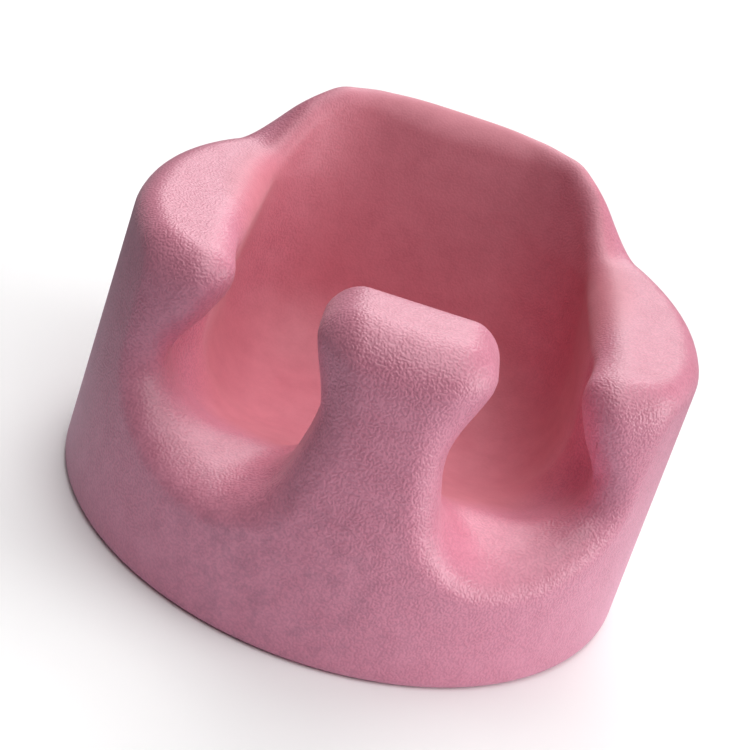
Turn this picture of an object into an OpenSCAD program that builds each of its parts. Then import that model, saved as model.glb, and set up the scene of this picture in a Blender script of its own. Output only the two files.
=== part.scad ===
// Baby floor seat, one moulding of self-skinned foam: the dense skin of the seat side,
// the dense skin of the underside and the light cellular core they enclose.
// Millimetres. Z is up, the child faces -Y, the origin is the centre of the round base
// on the floor.

/* [Overall] */
// diameter of the round base where it meets the floor
base_diameter = 370; // [340:1:400]
// inward lean of the round outer wall, degrees
wall_draft = 2.75; // [1.5:0.25:4]
// height of the backrest crest at its middle
back_height = 229; // [218:1:244]
// height of the arm tops beside the hips
arm_height = 182.5; // [172:0.5:192]
// height of the rounded lip under each thigh
lip_height = 85; // [78:1:92]
// height of the pommel top between the legs
pommel_height = 194; // [184:1:202]

/* [Seat bowl] */
// height of the seat floor at its lowest
floor_height = 50; // [44:1:56]
// clear width between the arms beside the hips
seat_width = 215; // [204:1:222]
// distance from the base centre to the backrest face, low down
back_face = 98; // [90:1:104]
// backward lean of the backrest face, degrees
back_recline = 15; // [10:0.5:20]
// plan radius where the backrest turns into the arms
back_corner = 62; // [50:1:72]
// radius between the seat floor and the walls round it
floor_fillet = 48; // [36:1:54]
// how far the bowl widens below the arm ends, three times what it does beside the hips
hip_relief = 24; // [16:1:27]
// how far each arm end turns in over the thigh
arm_turn_in = 13; // [4:1:18]

/* [Rim] */
// plan angle from the front where the backrest begins to rise
rise_start = 123.5; // [119:0.5:127]
// plan angle from the front where the backrest is at full height
rise_end = 151; // [147:0.5:157]
// fall of the arm tops toward the front, per millimetre
arm_slope = 0.03; // [0:0.005:0.06]
// distance from the base centre forward to the front face of the arms
arm_front = 112; // [106:1:118]
// rounding of the inner edge of the rim
rim_inner_radius = 19; // [15:1:22]
// rounding of the outer edge of the rim beside the hips
rim_outer_radius = 18; // [15:1:22]

/* [Pommel] */
// width of the pommel head
head_width = 100; // [90:1:108]
// width of the pommel neck
neck_width = 71; // [62:1:80]
// height of the neck
neck_height = 133; // [126:1:140]
// set-back of the pommel front at its top, from the straight wall
pommel_setback = 10; // [4:1:14]
// distance from the base centre forward to the back of the pommel
pommel_back = 90; // [84:1:96]
// radius where the pommel runs out into the lip
pommel_root = 24; // [18:1:30]
// how far each side of the neck spreads at the front of its root
root_flare = 9; // [4:1:12]

/* [Skin and base] */
// thickness of the dense skin
skin = 2; // [1.5:0.25:3]
// height of the mould parting line above the floor
part_line = 10; // [9:0.5:13]
// rounding of the bottom outer edge
edge_radius = 6; // [4.5:0.5:8]
// width of the flat ring the seat stands on
foot_width = 30; // [22:1:40]
// depth of the shallow recess inside the foot ring
recess = 3; // [2:0.25:4]

/* [Hidden] */
R = base_diameter / 2;
draft = tan(wall_draft);
part_r = R - draft * part_line;
lean = tan(back_recline);
hw = head_width / 2;
nw = neck_width / 2;
hp = pommel_height;
hl = lip_height;
ha = arm_height;
hb = back_height;
// scale of the lengths below, which follow the size of the base
g = R / 185;
// height where the pommel front starts to step back, and the height it takes
setback_from = 60 * g;
setback_run = 120 * g;
// stretch of the arm tops that slopes, forward and backward of the base centre
slope_front = 70 * g;
slope_back = 90 * g;
// extra height of the backrest crest at its middle
crown = 3 * g;
// distance behind the arm front over which the arm ends turn in, and the height it takes
turn_run = 55 * g;
turn_rise = 45 * g;
// depth below the arm tops at which the bowl starts to widen, at the ends and beside the hips
relief_end = 10.5 * g;
relief_side = 14.5 * g;
// run over which the seat floor climbs to the lip, and where it starts before the centre
floor_run = 132 * g;
floor_start = 8 * g;
// rise of the lip from the pommel out to the arms
lip_rise = 5 * g;
// height at which the slanted front of the arms is as far forward as arm_front
slant_level = 150 * g;
// roundings: foot of the leg openings, and where they meet the bowl, high up and low down
leg_radius = 36 * g;
meet_high = 28 * g;
meet_low = 38 * g;
// added to the inner rounding of the rim toward the front, and to the pommel root there
rim_more = 9 * g;
root_more = 12 * g;
// added to or taken from the outer rounding of the rim: lip, arm ends, backrest
lip_more = 7 * g;
end_less = 3 * g;
back_more = 3 * g;
// pommel: height of the head's straight sides, corner in plan, top edge, hollow of its back
head_sides = 16 * g;
flank_radius = 20 * g;
head_radius = 25 * g;
hollow = 6 * g;
hollow_run = 28 * g;
edge_steps = 5;

// ---- smooth tools -----------------------------------------------------------------
// step from 0 to 1 with level ends, and its slope
function step01(t) = let (c = min(max(t, 0), 1)) c * c * (3 - 2 * c);
function rate01(t) = let (c = min(max(t, 0), 1)) 6 * c * (1 - c);
function clamp(v, a, b) = min(max(v, a), b);
// common part of two bodies given by signed distances, edge rounded to radius r
function both(a, b, r) =
    min(-r, max(a, b)) + sqrt(pow(max(a + r, 0), 2) + pow(max(b + r, 0), 2));
// either of two bodies, inner corner filled to radius r
function either(a, b, r) = -both(-a, -b, r);

// ---- the seat as one signed distance, negative inside the foam ------------------------
// round drafted wall, set back a little over the front of the pommel
function wall_at(x, y, z, r) =
    r - (R - draft * z - pommel_setback * step01((z - setback_from) / setback_run)
         * (1 - step01((x - 0.68 * hw) / (0.84 * hw))) * step01((-y - 60 * g) / (40 * g)));

// rim height round the plan angle: arms, then the rise to the backrest
function rim_height(az, y) =
    let (arm = ha + arm_slope * clamp(y, -slope_front, slope_back),
         turn = step01((az - rise_start) / (rise_end - rise_start)))
    arm + (hb + crown * step01((180 - az) / 30) - arm) * turn;
function rim_top(az, y, z, r) =
    let (slope = (hb - ha) * rate01((az - rise_start) / (rise_end - rise_start))
                 / (rise_end - rise_start) / max(r * PI / 180, 1))
    (z - rim_height(az, y)) / sqrt(1 + slope * slope);

// the bowl that is taken out: sides, reclined back and dished floor
function bowl_at(x, y, z) =
    let (turn = arm_turn_in * (1 - step01((y + arm_front - 17 * g) / turn_run))
                * step01((z - hl - 10 * g) / turn_rise),
         end = step01((-y - 30 * g) / (40 * g)),
         relief = end * clamp(0.5 * (ha - relief_end - z), 0, hip_relief)
                  + (1 - end) * clamp(0.15 * (ha - relief_side - z), 0, hip_relief / 3),
         side = x - (seat_width / 2 - turn + relief),
         back = (y - (back_face + lean * (z - 60 * g))) * cos(back_recline),
         t = (-y - floor_start + 0.08 * x) / floor_run,
         climb = (hl - floor_height) * rate01(t) / floor_run,
         bed = (floor_height + (hl - floor_height) * step01(t) - z) / sqrt(1 + climb * climb))
    both(both(side, back, back_corner), bed, floor_fillet);

// the leg openings that are taken out in front of the arms, above the lip
function legs_at(y, z, az) =
    both(hl + lip_rise * step01((az - 30) / 20) - z, y + arm_front - 0.1 * (z - slant_level),
         leg_radius);

// hourglass pommel that stands on the lip and spreads at the front of its root
function pommel_at(x, y, z) =
    let (up = hp - head_sides - neck_height,
         t = (z - neck_height) / up,
         flare = root_flare * step01((neck_height - z) / (50 * g)) * step01((-y - 105 * g) / (35 * g)),
         w = nw + (hw - nw) * step01(t) + flare,
         dw = (hw - nw) * rate01(t) / up,
         side = (x - w) / sqrt(1 + dw * dw),
         rear = y + pommel_back + hollow * exp(-pow((z - neck_height) / hollow_run, 2)))
    both(both(side, rear, flank_radius), z - hp, head_radius);

// roundings of the outer and the inner edge of the rim, by plan angle and by depth
function outer_edge(az) =
    rim_outer_radius + lip_more * step01((az - 16) / 10)
    - (lip_more + end_less) * step01((az - 50) / 15) + end_less * step01((az - 75) / 15)
    + back_more * step01((az - 120) / 30);
function inner_edge(y) = rim_inner_radius + rim_more * step01((-y - 45 * g) / (40 * g));

function seat_at(p) =
    let (x = abs(p.x), y = p.y, z = p.z,
         r = max(norm([x, y]), 0.001),
         az = atan2(x, -y),
         meet = meet_high + (meet_low - meet_high) * (1 - step01((z - 90 * g) / (50 * g))),
         out = either(bowl_at(x, y, z), legs_at(y, z, az), meet),
         rim = both(rim_top(az, y, z, r), -out, inner_edge(y)),
         root = pommel_root + root_more * step01((-y - 95 * g) / (50 * g)))
    both(wall_at(x, y, z, r), either(rim, pommel_at(x, y, z), root), outer_edge(az));

// unit outward direction of the surface
function out_dir(p) =
    let (e = 0.05,
         d = [seat_at(p + [e, 0, 0]) - seat_at(p - [e, 0, 0]),
              seat_at(p + [0, e, 0]) - seat_at(p - [0, e, 0]),
              seat_at(p + [0, 0, e]) - seat_at(p - [0, 0, e])])
    d / norm(d);

// ---- stations round the half rim, from the pommel to the middle of the back --------
// base angle, outer shoulder, crest, inner shoulder, a point inside the foam
stations = [
    [0, [0, -163 * g, .89 * hp], [0, -128 * g, hp], [0, -90 * g, .89 * hp], [0, -130 * g, .82 * hp]],
    [4, [.24 * hw, -163 * g, .89 * hp], [.4 * hw, -128 * g, hp], [.24 * hw, -90 * g, .89 * hp],
        [.24 * hw, -130 * g, .82 * hp]],
    [8, [.48 * hw, -162 * g, .87 * hp], [.8 * hw, -128 * g, .97 * hp], [.48 * hw, -90 * g, .87 * hp],
        [.46 * hw, -130 * g, .81 * hp]],
    [11, [.62 * hw, -162 * g, .81 * hp], [hw, -128 * g, .9 * hp], [.62 * hw, -92 * g, .81 * hp],
         [.55 * hw, -130 * g, .77 * hp]],
    [13.5, [.92 * nw, -165 * g, .74 * hp], [1.28 * nw, -130 * g, .79 * hp],
           [.86 * nw, -94 * g, .74 * hp], [.73 * nw, -132 * g, .71 * hp]],
    [16, [.98 * nw, -168 * g, .65 * hp], [1.06 * nw, -134 * g, .675 * hp],
         [.9 * nw, -96 * g, .645 * hp], [.75 * nw, -134 * g, .62 * hp]],
    [18.5, [1.1 * nw, -170 * g, 1.22 * hl], [1.18 * nw, -137 * g, 1.29 * hl],
           [nw, -98 * g, 1.23 * hl], [.86 * nw, -136 * g, 1.1 * hl]],
    [22, [51 * g, -168 * g, .96 * hl], [56 * g, -140 * g, 1.1 * hl], [46 * g, -105 * g, .98 * hl],
         [44 * g, -138 * g, .8 * hl]],
    [28, [74 * g, -160 * g, .8 * hl], [73 * g, -137 * g, hl], [62 * g, -112 * g, .82 * hl],
         [70 * g, -137 * g, .65 * hl]],
    [38, [108 * g, -138 * g, .82 * hl], [98 * g, -122 * g, 1.05 * hl], [82 * g, -100 * g, .87 * hl],
         [94 * g, -120 * g, .68 * hl]],
    [45, [127 * g, -122 * g, .98 * hl], [112 * g, -110 * g, 1.13 * hl], [94 * g, -90 * g, .94 * hl],
         [114 * g, -102 * g, .73 * hl]],
    [51, [136 * g, -112 * g, .59 * ha], [119 * g, -108 * g, .67 * ha], [103 * g, -88 * g, .57 * ha],
         [126 * g, -90 * g, .46 * ha]],
    [57, [144 * g, -100 * g, .73 * ha], [122 * g, -103 * g, .82 * ha], [103 * g, -78 * g, .72 * ha],
         [134 * g, -78 * g, .625 * ha]],
    [66, [156 * g, -78 * g, .83 * ha], [128 * g, -80 * g, .98 * ha], [102 * g, -58 * g, .83 * ha],
         [136 * g, -62 * g, .72 * ha]],
    [80, [172 * g, -32 * g, .84 * ha], [144 * g, -28 * g, ha], [107 * g, -22 * g, .84 * ha],
         [142 * g, -28 * g, .8 * ha]],
    [95, [176 * g, 14 * g, .84 * ha], [144 * g, 14 * g, ha], [110 * g, 14 * g, .84 * ha],
         [144 * g, 14 * g, .8 * ha]],
    [110, [166 * g, 58 * g, .84 * ha], [142 * g, 52 * g, ha], [110 * g, 46 * g, .84 * ha],
          [140 * g, 52 * g, .8 * ha]],
    [122, [150 * g, 92 * g, .86 * ha], [130 * g, 84 * g, 1.01 * ha], [106 * g, 74 * g, .86 * ha],
          [129 * g, 83 * g, .82 * ha]],
    [133, [130 * g, 118 * g, .74 * hb], [113 * g, 106 * g, .86 * hb], [94 * g, 92 * g, .73 * hb],
          [112 * g, 106 * g, .7 * hb]],
    [143, [106 * g, 140 * g, .83 * hb], [93 * g, 124 * g, .94 * hb], [78 * g, 110 * g, .81 * hb],
          [92 * g, 124 * g, .79 * hb]],
    [154, [77 * g, 157 * g, .87 * hb], [67 * g, 142 * g, .99 * hb], [56 * g, 124 * g, .85 * hb],
          [66 * g, 142 * g, .83 * hb]],
    [167, [39 * g, 170 * g, .89 * hb], [34 * g, 154 * g, hb], [28 * g, 136 * g, .87 * hb],
          [34 * g, 154 * g, .85 * hb]],
    [180, [0, 174 * g, .89 * hb], [0, 157 * g, hb], [0, 138 * g, .87 * hb], [0, 157 * g, .85 * hb]]
];
last = len(stations) - 1;
flip = [-1, 1, 1];
function mirrored(p) = [p.x * flip.x, p.y, p.z];
// station values carried past the two ends by mirror symmetry
function station(i, k) =
    i < 0 ? (k == 0 ? -stations[-i][0] : mirrored(stations[-i][k])) :
    i > last ? (k == 0 ? 360 - stations[2 * last - i][0] : mirrored(stations[2 * last - i][k])) :
    stations[i][k];
// value k between stations, on a smooth curve through them
function between(u, k) =
    let (i = min(floor(u), last - 1), t = u - i,
         a = station(i - 1, k), b = station(i, k), c = station(i + 1, k), d = station(i + 2, k))
    b + 0.5 * t * (c - a + t * (2 * a - 5 * b + 4 * c - d + t * (3 * (b - c) + d - a)));

function bezier(a, b, c, d, t) =
    let (s = 1 - t) s * s * s * a + 3 * s * s * t * b + 3 * s * t * t * c + t * t * t * d;

// ---- points of the seat surface -------------------------------------------------------
columns = 2 * last;
rows_wall = 5;
rows_outer = 5;
rows_inner = 6;
rows_bowl = 9;
rows = rows_wall + rows_outer + rows_inner + rows_bowl;
bowl_centre = [0, 10 * g, 0];
// heights below the seat floor at which the bowl is seen from, at its middle and its sides
deep = 8 * g;
deep_side = 18 * g;

function drop_to(p, z) = [p.x, p.y, z];
// guide point and the point inside the foam it is seen from
function sight(u, v) =
    let (o = between(u, 1), c = between(u, 2), i = between(u, 3), m = between(u, 4),
         a = between(u, 0), foot = [part_r * sin(a), -part_r * cos(a), part_line])
    v <= rows_wall ?
        let (t = v / rows_wall)
        [[foot.x * .82, foot.y * .82, foot.z] * (1 - t) + m * t, foot * (1 - t) + o * t] :
    v <= rows_wall + rows_outer ?
        let (t = (v - rows_wall) / rows_outer) [m, o * (1 - t) + c * t] :
    v <= rows_wall + rows_outer + rows_inner ?
        let (t = (v - rows_wall - rows_outer) / rows_inner) [m, c * (1 - t) + i * t] :
        let (t = (v - rows_wall - rows_outer - rows_inner) / rows_bowl,
             f = drop_to(bowl_centre, floor_height), fl = drop_to(bowl_centre, deep),
             low = drop_to(i, floor_height), ml = drop_to(m, deep_side))
        [bezier(m, m * .4 + ml * .6, fl + (ml - fl) * .85, fl, t),
         bezier(i, i * .55 + low * .45, f + (low - f) * .8, f, t)];

// distance along a sight line at which it leaves the foam, by even marks and then halving
marks = 16;
halvings = 11;
function leave(p, d, a, b, n) =
    n == 0 ? (a + b) / 2 :
    let (c = (a + b) / 2)
    seat_at(p + c * d) < 0 ? leave(p, d, c, b, n - 1) : leave(p, d, a, c, n - 1);
function first_out(p, d, s, h, n) =
    n == 0 || seat_at(p + (s + h) * d) > 0 ? leave(p, d, s, s + h, halvings) :
    first_out(p, d, s + h, h, n - 1);
function surface_point(u, v) =
    v == 0 ? let (a = between(u, 0)) [part_r * sin(a), -part_r * cos(a), part_line] :
    let (s = sight(u, v), l = norm(s[1] - s[0]), d = (s[1] - s[0]) / l)
    s[0] + d * first_out(s[0], d, 0, (2.2 * l + 15 * g) / marks, marks);

half_outer = [for (j = [0:columns]) [for (v = [0:rows - 1]) surface_point(j / 2, v)]];
half_inner = [for (j = [0:columns]) [for (v = [0:rows - 1])
    let (p = half_outer[j][v])
    v == 0 ? [p.x * (1 - skin / part_r), p.y * (1 - skin / part_r), part_line]
           : let (q = p - skin * out_dir(p)) (j == 0 || j == columns) ? [0, q.y, q.z] : q]];
floor_point = let (p = drop_to(bowl_centre, deep))
    p + [0, 0, 1] * first_out(p, [0, 0, 1], 0, floor_height / 6, marks);

// full ring of columns: right half front to back, then the mirrored left half
function whole(half) = concat(half, [for (j = [columns - 1:-1:1]) [for (p = half[j]) mirrored(p)]]);
ring = 2 * columns;
outer = whole(half_outer);
inner = whole(half_inner);
function flat_list(a) = [for (c = a) for (p = c) p];

// two triangles of each cell, cut along its shorter diagonal; n is the first point number
function cell_faces(grid, n, up) = [
    for (c = [0:ring - 1]) for (v = [0:rows - 2])
        let (d = (c + 1) % ring,
             a = n + c * rows + v, b = n + d * rows + v, e = b + 1, f = a + 1,
             short = norm(grid[c][v] - grid[d][v + 1]) <= norm(grid[d][v] - grid[c][v + 1]),
             t = short ? [[a, f, e], [a, e, b]] : [[a, f, b], [f, e, b]])
        for (q = t) up ? q : [q[2], q[1], q[0]]];
// fan of triangles that closes a grid on one point
function cap_faces(n, tip, up) = [
    for (c = [0:ring - 1])
        let (a = n + c * rows + rows - 1, b = n + ((c + 1) % ring) * rows + rows - 1)
        up ? [a, tip, b] : [b, tip, a]];

// ---- dense skin of the seat side: wall, rim, pommel and bowl ---------------------------
module seat_skin() {
    n = ring * rows;
    points = concat(flat_list(outer), [floor_point], flat_list(inner), [floor_point - [0, 0, skin]]);
    seam = [for (c = [0:ring - 1])
        let (d = (c + 1) % ring, a = c * rows, b = d * rows, e = n + 1 + d * rows, f = n + 1 + c * rows)
        each [[a, b, e], [a, e, f]]];
    color([0.91, 0.68, 0.74])
        polyhedron(points, concat(cell_faces(outer, 0, true), cap_faces(0, n, true),
                                  cell_faces(inner, n + 1, false), cap_faces(n + 1, 2 * n + 1, false),
                                  seam), convexity = 12);
}

// half section of the underside skin, outer face first, then the face toward the core
foot_in = R - edge_radius - foot_width;
function edge_arc(r) = [for (i = [0:edge_steps])
    let (a = wall_draft + (90 - wall_draft) * i / edge_steps)
    [R - edge_radius - draft * edge_radius + r * cos(a), edge_radius - r * sin(a)]];
core_profile = concat([[part_r - skin, part_line]], edge_arc(edge_radius - skin),
                      [[foot_in, skin], [foot_in - recess, skin + recess]]);

// ---- dense skin of the underside: edge, foot ring and shallow recess -------------------
module base_skin() {
    color([0.86, 0.62, 0.69])
        rotate_extrude($fn = 120)
            polygon(concat([[part_r, part_line]], edge_arc(edge_radius),
                           [[foot_in, 0], [foot_in - recess, recess], [0, recess], [0, skin + recess]],
                           [for (i = [len(core_profile) - 1:-1:0]) core_profile[i]]));
}

// ---- cellular core that fills both skins ----------------------------------------------
module foam_core() {
    n = ring * rows;
    low = len(core_profile) - 1;
    // rings of points that follow the underside skin, from the parting line inward
    lower = [for (c = [0:ring - 1]) for (k = [1:low])
        [outer[c][0].x / part_r * core_profile[k].x, outer[c][0].y / part_r * core_profile[k].x,
         core_profile[k].y]];
    points = concat(flat_list(inner), [floor_point - [0, 0, skin]], lower, [[0, 0, skin + recess]]);
    tip = n + 1 + ring * low;
    first = [for (c = [0:ring - 1])
        let (d = (c + 1) % ring, a = c * rows, b = d * rows, e = n + 1 + d * low, f = n + 1 + c * low)
        each [[a, b, e], [a, e, f]]];
    rest = [for (c = [0:ring - 1]) for (k = [0:low - 2])
        let (d = (c + 1) % ring, a = n + 1 + c * low + k, b = n + 1 + d * low + k)
        each [[a, b, b + 1], [a, b + 1, a + 1]]];
    close = [for (c = [0:ring - 1])
        [n + 1 + c * low + low - 1, n + 1 + ((c + 1) % ring) * low + low - 1, tip]];
    color([0.97, 0.86, 0.80])
        polyhedron(points, concat(cell_faces(inner, 0, true), cap_faces(0, n, true), first, rest, close),
                   convexity = 12);
}

seat_skin();
base_skin();
foam_core();
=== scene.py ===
import math
import bpy
import numpy as np
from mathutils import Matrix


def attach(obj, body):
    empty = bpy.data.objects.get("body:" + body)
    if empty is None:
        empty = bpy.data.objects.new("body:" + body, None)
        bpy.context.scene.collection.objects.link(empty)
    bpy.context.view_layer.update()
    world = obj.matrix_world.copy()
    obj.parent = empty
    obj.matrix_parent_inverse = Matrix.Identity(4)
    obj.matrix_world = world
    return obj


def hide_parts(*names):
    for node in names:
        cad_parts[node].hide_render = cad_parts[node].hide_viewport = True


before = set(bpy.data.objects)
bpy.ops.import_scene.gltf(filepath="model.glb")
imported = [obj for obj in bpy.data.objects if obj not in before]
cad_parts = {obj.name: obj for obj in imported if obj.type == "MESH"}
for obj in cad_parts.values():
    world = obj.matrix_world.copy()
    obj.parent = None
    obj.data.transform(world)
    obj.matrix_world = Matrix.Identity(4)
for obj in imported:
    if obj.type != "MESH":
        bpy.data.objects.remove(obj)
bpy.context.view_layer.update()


# ======================================================================================
# The seat side of the moulding
#
# A baby floor seat is cast in one shot: liquid polyurethane foams up in a closed mould,
# and the foam that touches the mould wall sets into a dense, leathery skin about 2 mm
# thick. This section is that skin over the wall, the rim, the pommel and the bowl.
# ======================================================================================
MM = 0.001  # sizes are in millimetres until a mesh or a material is written
base_radius = 185.0
draft = math.tan(math.radians(2.75))
part_line = 10.0
skin_thickness = 2.0
back_height, arm_height, lip_height, pommel_height = 229.0, 182.5, 85.0, 194.0
floor_height, arm_front = 50.0, 112.0
half_head, half_neck, neck_height = 50.0, 35.5, 133.0
bowl_centre = np.array([0.0, 10.0, 0.0])


def step(t):
    """0 below t = 0, 1 above t = 1, and the cubic 3t^2 - 2t^3 between them."""
    t = np.clip(t, 0, 1)
    return t * t * (3 - 2 * t)


def rate(t):
    """Slope of step: 6t - 6t^2."""
    t = np.clip(t, 0, 1)
    return 6 * t * (1 - t)


def ramp(v, start, run):
    """step of v over the stretch from start to start + run."""
    return step((v - start) / run)


def both(a, b, r):
    """What two bodies share, as a signed distance, with the edge between them rounded to r."""
    corner = np.sqrt(np.maximum(a + r, 0) ** 2 + np.maximum(b + r, 0) ** 2)
    return np.minimum(-r, np.maximum(a, b)) + corner


def either(a, b, r):
    """Two bodies joined, with the inner corner between them filled to r."""
    return -both(-a, -b, r)


# Below, x is the distance from the middle plane, y runs to the back and z up, r is the
# distance from the seat's axis, and angle is 0 degrees at the pommel and 180 at the back.
# A zone is the pair (start, run) of a ramp.
# how far the wall is set back at the pommel's front, over which heights, how far forward,
# and how far out from the middle plane
pommel_setback = 10.0
setback_zone, front_zone = (60, 120), (60, 40)
head_zone = (0.68 * half_head, 0.84 * half_head)


def beyond_wall(x, y, z, r):
    """Distance outside the wall: r less the base radius, which shrinks by draft with z."""
    front = (1 - ramp(x, *head_zone)) * ramp(-y, *front_zone)
    return r - (base_radius - draft * z - pommel_setback * ramp(z, *setback_zone) * front)


# the climb from arm to back, the slope of the arm tops and the stretch of y that has it,
# the dip in the middle of the back, and how far its two corners are cut down
rise_start, rise_end = 123.5, 151.0
arm_slope, slope_ends = 0.03, (-70, 90)
back_dip, dip_run = 3, 30
corner_drop, corner_rise, corner_fall = 3.2, (137, 9), (149, 11)


def above_crest(y, z, r, angle):
    """Distance above the rim's crest, which climbs a cubic step from the arms to the back.

    The height above the crest is divided by the length of its slope, sqrt(1 + slope^2), so
    that it stays a distance on the climb.
    """
    turn = (angle - rise_start) / (rise_end - rise_start)
    arm = arm_height + arm_slope * np.clip(y, *slope_ends)
    back = back_height + back_dip * ramp(180 - angle, 0, dip_run)
    corner = ramp(angle, *corner_rise) * (1 - ramp(angle, *corner_fall))
    crest = arm + (back - arm) * step(turn) - corner_drop * corner
    slope = ((back_height - arm_height) * rate(turn) / (rise_end - rise_start)
             / np.maximum(np.radians(r), 1))
    return (z - crest) / np.sqrt(1 + slope ** 2)


# half the width between the arms, and how far their front ends turn in: over which stretch
# behind the arms' front, and over which heights above the lip
half_seat = 107.5
arm_turn_in, turn_in_along, turn_in_up = 13.0, (17, 55), (10, 45)
# the hip relief, which starts below the arm tops, steeper at the arms' ends than beside them
hip_relief, arm_end_zone = 24.0, (30, 40)
end_relief_slope, end_relief_top = 0.5, arm_height - 10.5
side_relief_slope, side_relief_top = 0.15, arm_height - 14.5
# the backrest's place at one height, its lean, and its corners with the sides
back_face, back_face_height, back_recline, back_corner = 98.0, 60, math.radians(15.0), 62.0
# the climb of the bowl's floor to the lip, which starts in front of the axis
floor_start, floor_run, floor_skew, floor_fillet = 8, 132, 0.08, 48.0


def in_bowl(x, y, z):
    """Negative inside the bowl: sides, backrest and floor, each a distance, rounded together.

    The floor is a cubic step forward from its lowest height to the lip's.
    """
    inward = (arm_turn_in * (1 - ramp(y + arm_front, *turn_in_along))
              * ramp(z - lip_height, *turn_in_up))
    end = ramp(-y, *arm_end_zone)
    relief = (end * np.clip(end_relief_slope * (end_relief_top - z), 0, hip_relief)
              + (1 - end) * np.clip(side_relief_slope * (side_relief_top - z), 0, hip_relief / 3))
    side = x - (half_seat - inward + relief)
    back = ((y - back_face - np.tan(back_recline) * (z - back_face_height))
            * np.cos(back_recline))
    forward = (-y - floor_start + floor_skew * x) / floor_run
    fall = (lip_height - floor_height) * rate(forward) / floor_run
    bed = floor_height + (lip_height - floor_height) * step(forward) - z
    return both(both(side, back, back_corner), bed / np.sqrt(1 + fall ** 2), floor_fillet)


# the lip's rise from the pommel out to the arms, the slant of the arms' front, the corner
# between the two, and the radii where a leg opening meets the bowl, high up and low down
lip_rise, lip_zone = 5, (30, 20)
arm_front_slant, slant_level, leg_radius = 0.1, 150, 36
meet_high, meet_low, meet_zone = 28, 38, (90, 50)


def in_hollow(x, y, z, angle):
    """Negative in the bowl or in a leg opening, which lies above the lip before the arm."""
    lip = lip_height + lip_rise * ramp(angle, *lip_zone) - z
    legs = both(lip, y + arm_front - arm_front_slant * (z - slant_level), leg_radius)
    meet = meet_high + (meet_low - meet_high) * (1 - ramp(z, *meet_zone))
    return either(in_bowl(x, y, z), legs, meet)


# the pommel's back, the height of its head's straight sides, the spread of its root, the
# hollow of its back at the neck, and its corners in plan and at the top
pommel_back, head_sides = 90.0, 16
root_flare, flare_down, flare_forward = 9.0, (0, 50), (105, 35)
hollow, hollow_run = 6, 28
flank_radius, head_radius = 20, 25


def outside_pommel(x, y, z):
    """Distance outside the pommel, whose half width is a cubic step from neck to head.

    The neck spreads again at its root. The back is drawn forward by a bell curve of z.
    """
    up = pommel_height - head_sides - neck_height
    t = (z - neck_height) / up
    flare = (half_head - half_neck) * rate(t) / up
    spread = root_flare * ramp(neck_height - z, *flare_down) * ramp(-y, *flare_forward)
    flank = ((x - half_neck - (half_head - half_neck) * step(t) - spread)
             / np.sqrt(1 + flare ** 2))
    rear = y + pommel_back + hollow * np.exp(-((z - neck_height) / hollow_run) ** 2)
    return both(both(flank, rear, flank_radius), z - pommel_height, head_radius)


# the rim's inner edge: rounder at the arms' ends and sharper at the back's two shoulders
rim_inner_radius, rim_more, arm_end_round = 19.0, 9, (45, 40)
shoulder_less, shoulder_rise, shoulder_fall = 7, (112, 18), (145, 20)
# the run-out of the pommel into the lip, rounder at the front
pommel_root, root_more, root_zone = 24.0, 12, (95, 50)
# the outer edge: 18 mm at the pommel, 25 on the lip, 15 at the arms' ends, 18 along the
# arms and 21 on the back, and 10 mm more on the front of the pommel's head
rim_outer_radius = 18.0
outer_changes = ((7, (16, 10)), (-10, (50, 15)), (3, (75, 15)), (3, (120, 30)))
head_more, head_up, head_round = 10, (125, 45), (20, 10)


def seat_distance(p):
    """Distance of points p (..., 3) from the seat's surface, negative inside the foam.

    The seat is what lies under the crest, outside the hollow and inside the wall, with the
    pommel put back. Every edge is a rounded min or max.
    """
    x, y, z = np.abs(p[..., 0]), p[..., 1], p[..., 2]
    r = np.hypot(x, y) + 1e-6
    angle = np.degrees(np.arctan2(x, -y))
    shoulder = ramp(angle, *shoulder_rise) * (1 - ramp(angle, *shoulder_fall))
    inner_edge = rim_inner_radius + rim_more * ramp(-y, *arm_end_round) - shoulder_less * shoulder
    rim = both(above_crest(y, z, r, angle), -in_hollow(x, y, z, angle), inner_edge)
    body = either(rim, outside_pommel(x, y, z), pommel_root + root_more * ramp(-y, *root_zone))
    outer_edge = rim_outer_radius
    for change, zone in outer_changes:
        outer_edge = outer_edge + change * ramp(angle, *zone)
    head_edge = head_more * ramp(z, *head_up) * (1 - ramp(angle, *head_round))
    return both(beyond_wall(x, y, z, r), body, outer_edge + head_edge)


def outward(p):
    """Unit direction in which seat_distance grows fastest, by differences of 0.05 mm."""
    d = 0.05 * np.eye(3)
    g = np.stack([seat_distance(p + k) - seat_distance(p - k) for k in d], axis=-1)
    return g / np.linalg.norm(g, axis=-1, keepdims=True)


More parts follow.
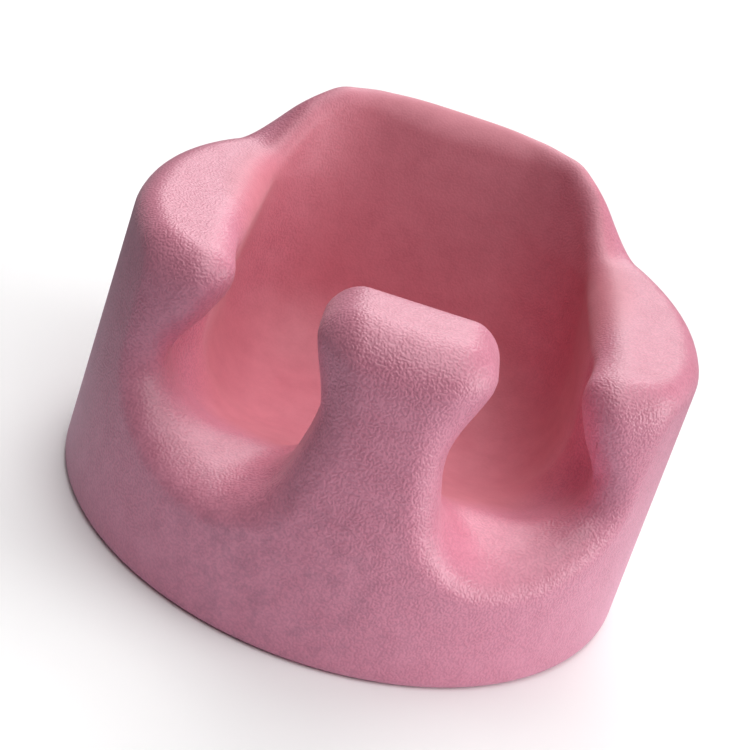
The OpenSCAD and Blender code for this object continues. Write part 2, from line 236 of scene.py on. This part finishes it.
# Stations round the half rim, from the pommel to the middle of the back: the base angle,
# then the outer shoulder, the crest, the inner shoulder and a point inside the foam.
hh, hn, hl, ha, hp, hb = half_head, half_neck, lip_height, arm_height, pommel_height, back_height
stations = np.array([
    [0, 0, -163, .89 * hp, 0, -128, hp, 0, -90, .89 * hp, 0, -130, .82 * hp],
    [4, .24 * hh, -163, .89 * hp, .4 * hh, -128, hp, .24 * hh, -90, .89 * hp,
     .24 * hh, -130, .82 * hp],
    [8, .48 * hh, -162, .87 * hp, .8 * hh, -128, .97 * hp, .48 * hh, -90, .87 * hp,
     .46 * hh, -130, .81 * hp],
    [11, .62 * hh, -162, .81 * hp, hh, -128, .9 * hp, .62 * hh, -92, .81 * hp,
     .55 * hh, -130, .77 * hp],
    [13.5, .92 * hn, -165, .74 * hp, 1.28 * hn, -130, .79 * hp, .86 * hn, -94, .74 * hp,
     .73 * hn, -132, .71 * hp],
    [16, .98 * hn, -168, .65 * hp, 1.06 * hn, -134, .675 * hp, .9 * hn, -96, .645 * hp,
     .75 * hn, -134, .62 * hp],
    [18.5, 1.1 * hn, -170, 1.22 * hl, 1.18 * hn, -137, 1.29 * hl, hn, -98, 1.23 * hl,
     .86 * hn, -136, 1.1 * hl],
    [22, 51, -168, .96 * hl, 56, -140, 1.1 * hl, 46, -105, .98 * hl, 44, -138, .8 * hl],
    [28, 74, -160, .8 * hl, 73, -137, hl, 62, -112, .82 * hl, 70, -137, .65 * hl],
    [38, 108, -138, .82 * hl, 98, -122, 1.05 * hl, 82, -100, .87 * hl, 94, -120, .68 * hl],
    [45, 127, -122, .98 * hl, 112, -110, 1.13 * hl, 94, -90, .94 * hl, 114, -102, .73 * hl],
    [51, 136, -112, .59 * ha, 119, -108, .67 * ha, 103, -88, .57 * ha, 126, -90, .46 * ha],
    [57, 144, -100, .73 * ha, 122, -103, .82 * ha, 103, -78, .72 * ha, 134, -78, .625 * ha],
    [66, 156, -78, .83 * ha, 128, -80, .98 * ha, 102, -58, .83 * ha, 136, -62, .72 * ha],
    [80, 172, -32, .84 * ha, 144, -28, ha, 107, -22, .84 * ha, 142, -28, .8 * ha],
    [95, 176, 14, .84 * ha, 144, 14, ha, 110, 14, .84 * ha, 144, 14, .8 * ha],
    [110, 166, 58, .84 * ha, 142, 52, ha, 110, 46, .84 * ha, 140, 52, .8 * ha],
    [122, 150, 92, .86 * ha, 130, 84, 1.01 * ha, 106, 74, .86 * ha, 129, 83, .82 * ha],
    [133, 130, 118, .74 * hb, 113, 106, .86 * hb, 94, 92, .73 * hb, 112, 106, .7 * hb],
    [143, 106, 140, .83 * hb, 93, 124, .94 * hb, 78, 110, .81 * hb, 92, 124, .79 * hb],
    [154, 77, 157, .87 * hb, 67, 142, .99 * hb, 56, 124, .85 * hb, 66, 142, .83 * hb],
    [167, 39, 170, .89 * hb, 34, 154, hb, 28, 136, .87 * hb, 34, 154, .85 * hb],
    [180, 0, 174, .89 * hb, 0, 157, hb, 0, 138, .87 * hb, 0, 157, .85 * hb],
])


def along_rim(u):
    """Station values at u on a Catmull-Rom curve through them, mirrored past both ends."""
    mirror = np.where(np.isin(np.arange(13), (0, 1, 4, 7, 10)), -1.0, 1.0)
    before = stations[1] * mirror
    after = stations[-2] * mirror
    after[0] += 360
    v = np.vstack([before, stations, after])
    i = np.clip(np.floor(u).astype(int), 0, len(stations) - 2)
    t = (u - i)[:, None]
    a, b, c, d = v[i], v[i + 1], v[i + 2], v[i + 3]
    return b + 0.5 * t * (c - a + t * (2 * a - 5 * b + 4 * c - d + t * (3 * (b - c) + d - a)))


def even_steps(n):
    """n + 1 values of u that divide the half rim evenly by the length of its crest."""
    u = np.linspace(0, len(stations) - 1, 2001)
    s = along_rim(u)
    run = np.diff(s[:, 4:7], axis=0)
    foot = base_radius * np.radians(np.diff(s[:, 0]))
    length = np.concatenate([[0], np.cumsum(np.linalg.norm(run, axis=1) + 0.5 * foot)])
    return np.interp(np.linspace(0, length[-1], n + 1), length, u)


def seat_grid(columns, rows):
    """Points of the seat's surface on a grid: round the whole rim, by from the base to the bowl.

    Each point is where a straight sight line from an eye inside the foam through a guide
    point first leaves the foam: a search in even steps, then halving. The guide runs up the
    wall, over the rim and down into the bowl, and rows holds how many points each stretch
    has. The other half of the seat is the mirror image.
    """
    eye_height, low_eye_height = 18, 8  # of the eyes under the bowl, at its side and middle
    s = along_rim(even_steps(columns))
    a, shoulder, crest, inner, core = np.radians(s[:, 0]), *np.split(s[:, 1:], 4, axis=1)
    foot_r = base_radius - draft * part_line
    foot = np.stack([foot_r * np.sin(a), -foot_r * np.cos(a), np.full_like(a, part_line)], 1)
    bed = bowl_centre + [0, 0, floor_height] + 0 * foot
    deep = bowl_centre + [0, 0, low_eye_height] + 0 * foot
    low = inner * [1, 1, 0] + [0, 0, floor_height]
    core_low = core * [1, 1, 0] + [0, 0, eye_height]

    def blend(points, t):
        """Bezier curve through two or four control points, for each column."""
        n = len(points) - 1
        return sum(math.comb(n, k) * (1 - t) ** (n - k) * t ** k * q[:, None]
                   for k, q in enumerate(points))

    stretches = [
        ((foot * [.82, .82, 1], core), (foot, shoulder)),
        ((core, core), (shoulder, crest)),
        ((core, core), (crest, inner)),
        ((core, core * .4 + core_low * .6, deep + (core_low - deep) * .85, deep),
         (inner, inner * .55 + low * .45, bed + (low - bed) * .8, bed)),
    ]
    eye, aim = [], []
    for n, (start, end) in zip(rows, stretches):
        t = np.arange(n)[None, :, None] / n
        eye.append(blend(start, t))
        aim.append(blend(end, t))
    eye, aim = np.concatenate(eye, 1), np.concatenate(aim, 1)
    reach = np.linalg.norm(aim - eye, axis=-1)
    ray = (aim - eye) / reach[..., None]

    search_steps, halvings = 40, 20
    stride = (2.2 * reach + 15) / search_steps  # the line goes on well past the guide
    near = np.zeros_like(reach)
    found = np.zeros(reach.shape, bool)
    for k in range(1, search_steps + 1):
        found |= seat_distance(eye + ray * (k * stride)[..., None]) > 0
        near = np.where(found, near, k * stride)
    far = near + stride
    for _ in range(halvings):
        mid = (near + far) / 2
        inside = seat_distance(eye + ray * mid[..., None]) < 0
        near, far = np.where(inside, mid, near), np.where(inside, far, mid)
    grid = eye + ray * near[..., None]
    grid[:, 0] = foot
    return np.concatenate([grid, grid[-2:0:-1] * [-1, 1, 1]])


def floor_point():
    """The lowest point of the bowl, where all the columns meet."""
    z = np.linspace(5, 100, 4001)
    p = bowl_centre + z[:, None] * [0, 0, 1]
    return p[np.argmax(seat_distance(p) > 0)]


def sheet_faces(columns, rows, first, tip, up):
    """Quads of a grid closed into a ring, and the fan of triangles that ends on a point."""
    c, r = np.meshgrid(np.arange(columns), np.arange(rows - 1), indexing="ij")
    d = (c + 1) % columns
    a, b = first + c * rows + r, first + d * rows + r
    quads = np.stack([a, a + 1, b + 1, b], -1).reshape(-1, 4)
    c = np.arange(columns)
    fan = np.stack([first + c * rows + rows - 1, np.full(columns, tip),
                    first + (c + 1) % columns * rows + rows - 1], -1)
    if up:
        return quads.tolist() + fan.tolist()
    return quads[:, ::-1].tolist() + fan[:, ::-1].tolist()


def add_mesh(name, points, faces, smooth_below=35):
    """A mesh object at the origin, in metres, smooth except at edges sharper than the angle."""
    mesh = bpy.data.meshes.new(name)
    mesh.from_pydata((points * MM).tolist(), [], faces)
    mesh.polygons.foreach_set("use_smooth", np.ones(len(mesh.polygons), bool))
    mesh.set_sharp_from_angle(angle=math.radians(smooth_below))
    mesh.validate()
    mesh.update()
    piece = bpy.data.objects.new(name, mesh)
    bpy.context.collection.objects.link(piece)
    return piece


# how many points each stretch has: the wall, up to the crest, down from it, and the bowl
half_columns = 200
stretch_rows = (36, 26, 26, 56)
fine = seat_grid(half_columns, stretch_rows)
ring, height = fine.shape[:2]
bowl_tip = floor_point()
# the side of the skin that faces the core, on every second column and row
lining = fine[::2, ::2] - skin_thickness * outward(fine[::2, ::2])
lining[:, 0] = fine[::2, 0] * (1 - skin_thickness / (base_radius - draft * part_line))
lining[:, 0, 2] = part_line
lining_ring, lining_height = lining.shape[:2]
lining_tip = bowl_tip - [0, 0, skin_thickness]

points = np.vstack([fine.reshape(-1, 3), bowl_tip, lining.reshape(-1, 3), lining_tip])
first_in = ring * height + 1
faces = sheet_faces(ring, height, 0, ring * height, True)
faces += sheet_faces(lining_ring, lining_height, first_in, len(points) - 1, False)
# the skin is closed along the parting line, with two outer columns to one of the lining
for k in range(lining_ring):
    a, m, b = [(2 * k + j) % ring * height for j in range(3)]
    p, q = first_in + k * lining_height, first_in + (k + 1) % lining_ring * lining_height
    faces += [[a, m, p], [m, q, p], [m, b, q]]
seat = add_mesh("seat_moulding_skin", points, faces)
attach(seat, "root")
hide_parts("seat_skin")


def linear(hex_colour):
    """sRGB hex colour as linear RGBA."""
    c = np.array([int(hex_colour[i:i + 2], 16) for i in (1, 3, 5)]) / 255
    c = np.where(c <= 0.04045, c / 12.92, ((c + 0.055) / 1.055) ** 2.4)
    return (*c.tolist(), 1.0)


def add_node(tree, kind, links=(), **settings):
    """Adds one node, sets its inputs or properties, and links (from, output, input)."""
    n = tree.nodes.new(kind)
    for key, value in settings.items():
        if key in n.inputs:
            n.inputs[key].default_value = value
        elif hasattr(n, key):
            setattr(n, key, value)
        else:
            n.inputs[key.replace("_", " ")].default_value = value
    for source, output, target in links:
        tree.links.new(source.outputs[output], n.inputs[target])
    return n


# Self-skinned polyurethane with a leather grain etched into the mould. The eye gets a satin
# pink with short winding wrinkles, about 3 mm apart, that show where light grazes them, and
# a whitish bloom where light skims it. Broad patches are a little more and less worn.
# The sizes are of a wrinkle, its depth, the swirls that bend the wrinkles, how far they
# bend them, and the patches.
grain_mm, grain_depth_mm, swirl_mm, swirl_reach_mm, patch_mm = 1.4, 0.29, 4.0, 0.8, 15.0
skin = bpy.data.materials.new("self_skinned_polyurethane")
skin.use_nodes = True
t = skin.node_tree
t.nodes.clear()
place = add_node(t, "ShaderNodeTexCoord")
sway = add_node(t, "ShaderNodeTexNoise", [(place, "Object", "Vector")],
                Scale=1 / (swirl_mm * MM), Detail=1.0, Roughness=0.5)
bend = add_node(t, "ShaderNodeVectorMath", [(sway, "Color", 0)], operation="SCALE",
                Scale=swirl_reach_mm * MM)
bent = add_node(t, "ShaderNodeVectorMath", [(place, "Object", 0), (bend, "Vector", 1)],
                operation="ADD")
wrinkle = add_node(t, "ShaderNodeTexNoise", [(bent, "Vector", "Vector")],
                   Scale=1 / (grain_mm * MM), Detail=0.0)
# rounded tops between narrow furrows
plateau = add_node(t, "ShaderNodeMapRange", [(wrinkle, "Fac", "Value")],
                   interpolation_type="SMOOTHSTEP", From_Min=0.27, From_Max=0.73)
patch = add_node(t, "ShaderNodeTexNoise", [(place, "Object", "Vector")],
                 Scale=1 / (patch_mm * MM), Detail=4.0, Roughness=0.6)
wear = add_node(t, "ShaderNodeMapRange", [(patch, "Fac", "Value")],
                From_Min=0.35, From_Max=0.65, To_Min=1.0, To_Max=0.75)
# The bowl, where the child sits, is rubbed smoother and duller than the outside, and its pink
# is painted redder and darker there, as painted bounce light and shade between its walls.
# Its axis leans back as the backrest does. Between the two radii from that axis the bowl's
# finish turns into the rim's.
bowl_lean, bowl_mm, rim_mm, bowl_grain = -0.2, 113.0, 138.0, 0.22
# the bowl's tint of painted bounce light and shade, then the bowl's and the rim's roughness
bowl_painted_bounce, bowl_roughness, rim_roughness = (1.0, 0.85, 0.78, 1), 0.62, 0.41
apart = add_node(t, "ShaderNodeSeparateXYZ", [(place, "Object", "Vector")])
leaning = add_node(t, "ShaderNodeMath", [(apart, "Z", 0), (apart, "Y", 2)],
                   operation="MULTIPLY_ADD")
leaning.inputs[1].default_value = bowl_lean
plan = add_node(t, "ShaderNodeCombineXYZ", [(apart, "X", "X"), (leaning, "Value", "Y")], Z=0.0)
from_axis = add_node(t, "ShaderNodeVectorMath", [(plan, "Vector", 0)], operation="LENGTH")
rim_side = add_node(t, "ShaderNodeMapRange", [(from_axis, "Value", "Value")],
                    From_Min=bowl_mm * MM, From_Max=rim_mm * MM)
kept = add_node(t, "ShaderNodeMapRange", [(rim_side, "Result", "Value")],
                To_Min=bowl_grain, To_Max=1.0)
# Hands rub the upward faces flatter, and the etching fades out towards the parting line.
top_grain, foot_grain, etched_to_mm = 0.65, 0.5, 110.0
facing = add_node(t, "ShaderNodeNewGeometry")
upward = add_node(t, "ShaderNodeSeparateXYZ", [(facing, "Normal", "Vector")])
handled = add_node(t, "ShaderNodeMapRange", [(upward, "Z", "Value")],
                   From_Min=0.35, From_Max=0.9, To_Min=1.0, To_Max=top_grain)
etched = add_node(t, "ShaderNodeMapRange", [(apart, "Z", "Value")],
                  From_Min=part_line * MM, From_Max=etched_to_mm * MM,
                  To_Min=foot_grain, To_Max=1.0)
fading = add_node(t, "ShaderNodeMath", [(handled, "Result", 0), (etched, "Result", 1)],
                  operation="MULTIPLY")
worn = add_node(t, "ShaderNodeMath", [(fading, "Value", 0), (wear, "Result", 1)],
                operation="MULTIPLY")
depth = add_node(t, "ShaderNodeMath", [(kept, "Result", 0), (worn, "Value", 1)],
                 operation="MULTIPLY")
relief = add_node(t, "ShaderNodeMath", [(plateau, "Result", 0), (depth, "Value", 1)],
                  operation="MULTIPLY")
grain = add_node(t, "ShaderNodeBump", [(relief, "Value", "Height")],
                 Strength=1.0, Distance=grain_depth_mm * MM)
# The pink is a little deeper in some patches, and darker down in the furrows as painted shade.
tint = add_node(t, "ShaderNodeValToRGB", [(patch, "Fac", "Fac")])
tint.color_ramp.elements[0].position = 0.3
tint.color_ramp.elements[0].color = linear("#DE889F")
tint.color_ramp.elements[1].position = 0.7
tint.color_ramp.elements[1].color = linear("#E995AC")
# painted shade: the colour is darkened down in the grain's furrows
painted_furrow_shade = add_node(t, "ShaderNodeValToRGB", [(relief, "Value", "Fac")])
painted_furrow_shade.color_ramp.elements[0].position = 0.0
painted_furrow_shade.color_ramp.elements[0].color = (0.86, 0.82, 0.84, 1)
painted_furrow_shade.color_ramp.elements[1].position = 0.6
painted_furrow_shade.color_ramp.elements[1].color = (1, 1, 1, 1)
shade = add_node(t, "ShaderNodeMix", data_type="RGBA", blend_type="MULTIPLY")
shade.inputs[0].default_value = 1.0
t.links.new(tint.outputs["Color"], shade.inputs[6])
t.links.new(painted_furrow_shade.outputs["Color"], shade.inputs[7])
# painted bounce light and shade: inside the bowl the pink is multiplied redder and darker
bowl_bounce_shade = add_node(t, "ShaderNodeMix", data_type="RGBA", blend_type="MIX")
bowl_bounce_shade.inputs[6].default_value = bowl_painted_bounce
bowl_bounce_shade.inputs[7].default_value = (1, 1, 1, 1)
t.links.new(rim_side.outputs["Result"], bowl_bounce_shade.inputs[0])
hue = add_node(t, "ShaderNodeMix", data_type="RGBA", blend_type="MULTIPLY")
hue.inputs[0].default_value = 1.0
t.links.new(shade.outputs[2], hue.inputs[6])
t.links.new(bowl_bounce_shade.outputs[2], hue.inputs[7])
# Shoes and floors leave faint mauve smudges low on the front, left of the middle.
smudge_mm, kicked_at_mm, kicked_core_mm, kicked_reach_mm = 11.0, (-30, -180, 45), 35.0, 110.0
most_dirt = 0.3
kicked = add_node(t, "ShaderNodeVectorMath", [(place, "Object", 0)], operation="DISTANCE")
kicked.inputs[1].default_value = [c * MM for c in kicked_at_mm]
low_front = add_node(t, "ShaderNodeMapRange", [(kicked, "Value", "Value")],
                     From_Min=kicked_core_mm * MM, From_Max=kicked_reach_mm * MM,
                     To_Min=most_dirt, To_Max=0.0)
dabs = add_node(t, "ShaderNodeTexNoise", [(place, "Object", "Vector")],
                Scale=1 / (smudge_mm * MM), Detail=5.0, Roughness=0.72)
smeared = add_node(t, "ShaderNodeMapRange", [(dabs, "Fac", "Value")],
                   From_Min=0.48, From_Max=0.66)
dirt = add_node(t, "ShaderNodeMath", [(smeared, "Result", 0), (low_front, "Result", 1)],
                operation="MULTIPLY")
smudged = add_node(t, "ShaderNodeMix", [(dirt, "Value", 0), (hue, 2, 6)], data_type="RGBA")
smudged.inputs[7].default_value = linear("#8A5468")
dullness = add_node(t, "ShaderNodeMapRange", [(rim_side, "Result", "Value")],
                    To_Min=bowl_roughness, To_Max=rim_roughness)
finish = add_node(t, "ShaderNodeBsdfPrincipled",
                  [(grain, "Normal", "Normal"), (dullness, "Result", "Roughness")], IOR=1.5)
finish.inputs["Specular IOR Level"].default_value = 0.8
finish.inputs["Sheen Weight"].default_value = 0.15
finish.inputs["Sheen Roughness"].default_value = 0.45
t.links.new(smudged.outputs[2], finish.inputs["Base Color"])
add_node(t, "ShaderNodeOutputMaterial", [(finish, "BSDF", "Surface")])
seat.data.materials.append(skin)


# ======================================================================================
# The underside of the moulding
#
# The lower half of the same mould leaves a skin that wraps the bottom edge, a flat ring
# on which the seat stands, and a shallow recess inside it that keeps the middle off the
# floor. It meets the seat side at the parting line, all round and flush.
# ======================================================================================
edge_radius, foot_width, recess, recess_slope = 6.0, 30.0, 3.0, 4.0
foot_inner = base_radius - edge_radius - foot_width
recess_rings = (70.0, 12.0)  # radii of two rings that divide the flat middle
around, edge_points = 240, 13


def arc(radius):
    """Half-section points round the bottom edge, from the drafted wall to the flat ring."""
    a = np.linspace(math.atan(draft), math.pi / 2, edge_points)
    centre = base_radius - edge_radius * (1 + draft)
    return np.stack([centre + radius * np.cos(a), edge_radius - radius * np.sin(a)], 1)


def soft_step(radius, low, high, n=7):
    """Half-section points from height low at radius inward to height high, on a half cosine."""
    a = np.linspace(0, math.pi, n)
    return np.stack([radius - recess_slope * a / math.pi,
                     low + (high - low) * (1 - np.cos(a)) / 2], 1)


# the half-sections of the skin's outside and inside
part_radius = base_radius - draft * part_line
under = np.vstack([[[part_radius, part_line]], arc(edge_radius),
                   soft_step(foot_inner, 0, recess), [[r, recess] for r in recess_rings]])
lined = np.vstack([[[part_radius - skin_thickness, part_line]],
                   arc(edge_radius - skin_thickness),
                   soft_step(foot_inner, skin_thickness, recess + skin_thickness),
                   [[r, recess + skin_thickness] for r in recess_rings]])


def revolved(profile):
    """Profile (radius, height) turned about the seat's axis: a ring of columns by rows."""
    a = np.linspace(0, 2 * math.pi, around, endpoint=False)[:, None]
    r, z = profile[:, 0], profile[:, 1]
    return np.stack([r * np.sin(a), -r * np.cos(a), z + 0 * a], -1)


n = len(under)
points = np.vstack([revolved(under).reshape(-1, 3), [[0, 0, recess]],
                    revolved(lined).reshape(-1, 3), [[0, 0, recess + skin_thickness]]])
first_in = around * n + 1
faces = sheet_faces(around, n, 0, around * n, False)
faces += sheet_faces(around, n, first_in, len(points) - 1, True)
for k in range(around):
    a, b = k * n, (k + 1) % around * n
    faces.append([a, b, first_in + b, first_in + a])
base = add_mesh("base_moulding_skin", points, faces)
base.data.materials.append(skin)
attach(base, "root")
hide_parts("base_skin")


# ======================================================================================
# The foam core
#
# The light cellular foam that fills both skins and gives the seat its body. Nothing shows
# of it on a whole seat. It is one casting with the skins, so it touches them all over.
# ======================================================================================
# the underside follows the lining of the base, on the columns of the seat's own lining
inner_rim = lining[:, 0, :2]
plug = np.stack([np.concatenate([inner_rim[:, None] * (r / (part_radius - skin_thickness)),
                                 np.full((lining_ring, 1, 1), z)], -1)[:, 0]
                 for r, z in lined[1:]], axis=1)
points = np.vstack([lining.reshape(-1, 3), lining_tip, plug.reshape(-1, 3),
                    [[0, 0, recess + skin_thickness]]])
first_in = lining_ring * lining_height + 1
rows = plug.shape[1]
faces = sheet_faces(lining_ring, lining_height, 0, lining_ring * lining_height, True)
faces += sheet_faces(lining_ring, rows, first_in, len(points) - 1, False)
for k in range(lining_ring):
    j = (k + 1) % lining_ring
    faces.append([k * lining_height, j * lining_height, first_in + j * rows, first_in + k * rows])
core = add_mesh("foam_core_fill", points, faces)
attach(core, "root")
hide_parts("foam_core")

# Open-celled polyurethane foam, as a cut would show it: pale, dull, with pores under 1 mm.
pore_mm, pore_depth_mm = 0.9, 0.5
foam = bpy.data.materials.new("cellular_polyurethane")
foam.use_nodes = True
t = foam.node_tree
t.nodes.clear()
place = add_node(t, "ShaderNodeTexCoord")
pores = add_node(t, "ShaderNodeTexVoronoi", [(place, "Object", "Vector")],
                 Scale=1 / (pore_mm * MM))
hue = add_node(t, "ShaderNodeValToRGB", [(pores, "Distance", "Fac")])
hue.color_ramp.elements[0].color = linear("#D9A79F")
hue.color_ramp.elements[1].color = linear("#F1D3CB")
pits = add_node(t, "ShaderNodeBump", [(pores, "Distance", "Height")],
                Strength=0.7, Distance=pore_depth_mm * MM)
dull = add_node(t, "ShaderNodeBsdfPrincipled",
                [(pits, "Normal", "Normal"), (hue, "Color", "Base Color")], Roughness=0.9)
add_node(t, "ShaderNodeOutputMaterial", [(dull, "BSDF", "Surface")])
core.data.materials.append(foam)


# ======================================================================================
# Floor, light and camera
#
# A plain white floor, two broad lamps above and behind the seat, one low at its left side,
# one above the front, and weak light from all round. The floor throws light back on the
# seat from a patch in front of it, and is greyer to everything but the camera further off.
# ======================================================================================
floor_mesh = bpy.data.meshes.new("studio_floor")
# in metres: half the floor's width, and the bright patch's place and two radii
far_edge = 12.0
patch_at, patch_core, patch_end = (0.15, -0.22, 0), 0.29, 0.67
floor_mesh.from_pydata([(-far_edge, -far_edge, 0), (far_edge, -far_edge, 0),
                        (far_edge, far_edge, 0), (-far_edge, far_edge, 0)], [], [(0, 1, 2, 3)])
floor = bpy.data.objects.new("studio_floor", floor_mesh)
bpy.context.collection.objects.link(floor)
paper = bpy.data.materials.new("studio_paper")
paper.use_nodes = True
t = paper.node_tree
t.nodes.clear()
seen = add_node(t, "ShaderNodeLightPath")
spot = add_node(t, "ShaderNodeTexCoord")
ahead = add_node(t, "ShaderNodeVectorMath", [(spot, "Object", 0)], operation="SUBTRACT")
ahead.inputs[1].default_value = patch_at
reach = add_node(t, "ShaderNodeVectorMath", [(ahead, "Vector", 0)], operation="LENGTH")
spread = add_node(t, "ShaderNodeMapRange", [(reach, "Value", "Value")],
                  From_Min=patch_core, From_Max=patch_end)
sheet = add_node(t, "ShaderNodeMix", [(spread, "Result", 0)], data_type="RGBA")
sheet.inputs[6].default_value = linear("#EDEBF7")
sheet.inputs[7].default_value = linear("#6E7076")
grey = add_node(t, "ShaderNodeBsdfDiffuse")
t.links.new(sheet.outputs[2], grey.inputs["Color"])
white = add_node(t, "ShaderNodeBsdfDiffuse", Color=(1, 1, 1, 1))
mixed = add_node(t, "ShaderNodeMixShader",
                 [(seen, "Is Camera Ray", 0), (grey, "BSDF", 1), (white, "BSDF", 2)])
add_node(t, "ShaderNodeOutputMaterial", [(mixed, "Shader", "Surface")])
floor_mesh.materials.append(paper)

world = bpy.data.worlds.new("studio")
bpy.context.scene.world = world
world.use_nodes = True
t = world.node_tree
t.nodes.clear()
seen = add_node(t, "ShaderNodeLightPath")
ambient = add_node(t, "ShaderNodeBackground", Color=(1, 1, 1, 1), Strength=0.07)
shown = add_node(t, "ShaderNodeBackground", Color=(1, 1, 1, 1), Strength=1.0)
mixed = add_node(t, "ShaderNodeMixShader", [(seen, "Is Camera Ray", 0),
                                            (ambient, "Background", 1), (shown, "Background", 2)])
add_node(t, "ShaderNodeOutputWorld", [(mixed, "Shader", "Surface")])

from mathutils import Matrix, Vector

# each lamp's strength, how wide it is in degrees, and the direction towards it
for name, energy, angle, toward_lamp in (
        ("key_lamp", 1.20, 40, (0.05, 0.44, 0.90)),
        ("rear_lamp", 0.88, 40, (0.05, 0.84, 0.54)),
        ("side_lamp", 1.76, 40, (0.96, -0.08, 0.26)),
        ("fill_lamp", 1.27, 50, (0.18, -0.30, 0.93))):
    lamp = bpy.data.objects.new(name, bpy.data.lights.new(name, "SUN"))
    lamp.data.energy = energy
    lamp.data.angle = math.radians(angle)
    lamp.rotation_euler = Vector(toward_lamp).to_track_quat("Z", "Y").to_euler()
    bpy.context.collection.objects.link(lamp)

# The photographed view: azimuth and elevation of the sight line, roll about it, distance
# from the point looked at, and the lens.
azimuth, elevation, roll = math.radians(-2.43), math.radians(25.73), math.radians(18.72)
looked_at = Vector((-0.00764, 0.0, 0.09278))
view_distance, lens_mm = 0.897, 68.25
toward = Vector((math.sin(azimuth) * math.cos(elevation),
                 -math.cos(azimuth) * math.cos(elevation), math.sin(elevation)))
right = Vector((math.cos(azimuth), math.sin(azimuth), 0))
up = toward.cross(right)
turned_right = right * math.cos(roll) + up * math.sin(roll)
turned_up = up * math.cos(roll) - right * math.sin(roll)
camera = bpy.data.objects.new("camera", bpy.data.cameras.new("camera"))
camera.data.lens = lens_mm
camera.data.sensor_width = 36
camera.data.clip_start = 0.01
camera.matrix_world = (Matrix.Translation(looked_at + toward * view_distance)
                       @ Matrix((turned_right, turned_up, toward)).transposed().to_4x4())
bpy.context.collection.objects.link(camera)
bpy.context.scene.camera = camera
bpy.context.scene.view_settings.view_transform = "Standard"
